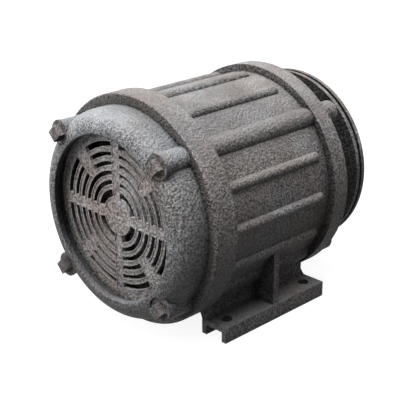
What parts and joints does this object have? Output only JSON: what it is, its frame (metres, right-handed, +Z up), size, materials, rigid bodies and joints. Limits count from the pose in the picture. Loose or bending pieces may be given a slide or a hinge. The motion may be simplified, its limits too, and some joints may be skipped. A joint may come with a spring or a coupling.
{
  "type": "vibration motor",
  "caption": "Foot-mounted electric vibration motor: ribbed cast body, grilled front weight cover, long tie bolts and adjustable unbalance discs on the rear shaft end.",
  "frame": {"origin": "centre of the four foot bolt holes on the mounting plane, straight below the motor axis", "axes": "+Z up, +Y along the motor axis from the grille end to the disc end, +X to the side away from the terminal box"},
  "size_m": [0.2371, 0.2644, 0.2125],
  "materials": {
    "housing_iron": "rough weathered casting",
    "cover_iron": "rough casting, slightly smoother",
    "grille_iron": "rough weathered casting",
    "fastener_steel": "dulled steel",
    "shaft_steel": "ground steel",
    "bearing_steel": "polished steel",
    "cage_brass": "machined brass",
    "weight_steel": "dark oiled plate",
    "lamination_steel": "stacked laminations",
    "winding_copper": "varnished copper wire",
    "rotor_aluminium": "die cast",
    "seal_rubber": "matte rubber",
    "terminal_plastic": "moulded resin",
    "fitting_brass": "plated brass"
  },
  "bodies": {
    "housing": {"stator_frame": "housing_iron", "front_end_shield": "housing_iron", "rear_end_shield": "housing_iron", "front_cover": "cover_iron", "grille_plate": "grille_iron", "grille_snap_ring": "fastener_steel", "tie_bolts": "fastener_steel", "tie_washers": "fastener_steel", "stator_core": "lamination_steel", "stator_windings": "winding_copper", "front_bearing_outer_ring": "bearing_steel", "rear_bearing_outer_ring": "bearing_steel", "front_bearing_cap": "housing_iron", "rear_bearing_cap": "housing_iron", "front_cap_screws": "fastener_steel", "rear_cap_screws": "fastener_steel", "front_shaft_seal": "seal_rubber", "rear_shaft_seal": "seal_rubber", "terminal_box_lid": "housing_iron", "terminal_box_gasket": "seal_rubber", "lid_screws": "fastener_steel", "terminal_block": "terminal_plastic", "terminal_studs": "fitting_brass", "terminal_nuts": "fitting_brass", "gland_body": "fitting_brass", "gland_seal": "seal_rubber", "gland_nut": "fitting_brass"},
    "rotor": {"shaft": "shaft_steel", "rotor_core": "lamination_steel", "rotor_cage": "rotor_aluminium", "front_bearing_inner_ring": "bearing_steel", "rear_bearing_inner_ring": "bearing_steel", "front_spacer_sleeve": "shaft_steel", "rear_spacer_sleeve": "shaft_steel", "front_fixed_weight": "weight_steel", "rear_fixed_disc": "weight_steel", "front_weight_key": "fastener_steel", "rear_weight_key": "fastener_steel", "front_end_washer": "fastener_steel", "rear_end_washer": "fastener_steel", "front_end_screw": "fastener_steel", "rear_end_screw": "fastener_steel"},
    "front_roller_set": {"front_rollers": "bearing_steel", "front_roller_cage": "cage_brass"},
    "rear_roller_set": {"rear_rollers": "bearing_steel", "rear_roller_cage": "cage_brass"},
    "front_adjustable_weight": {"front_adjustable_weight": "weight_steel"},
    "rear_adjustable_disc": {"rear_adjustable_disc": "weight_steel"}
  },
  "joints": [
    {"name": "rotor_spin", "type": "hinge", "parent": "housing", "child": "rotor", "pos_m": [0, 0, 0.1075], "axis": [0, 1, 0], "continuous": true},
    {"name": "front_rollers_turn", "type": "hinge", "parent": "housing", "child": "front_roller_set", "pos_m": [0, 0, 0.1075], "axis": [0, 1, 0], "continuous": true},
    {"name": "rear_rollers_turn", "type": "hinge", "parent": "housing", "child": "rear_roller_set", "pos_m": [0, 0, 0.1075], "axis": [0, 1, 0], "continuous": true},
    {"name": "front_weight_adjust", "type": "hinge", "parent": "rotor", "child": "front_adjustable_weight", "pos_m": [0, 0, 0.1075], "axis": [0, 1, 0], "range_deg": [0, 180]},
    {"name": "rear_disc_adjust", "type": "hinge", "parent": "rotor", "child": "rear_adjustable_disc", "pos_m": [0, 0, 0.1075], "axis": [0, 1, 0], "range_deg": [0, 180]}
  ],
  "couplings": [
    {"joint": "front_rollers_turn", "follows": "rotor_spin", "ratio": 0.4044},
    {"joint": "rear_rollers_turn", "follows": "rotor_spin", "ratio": 0.4044}
  ]
}
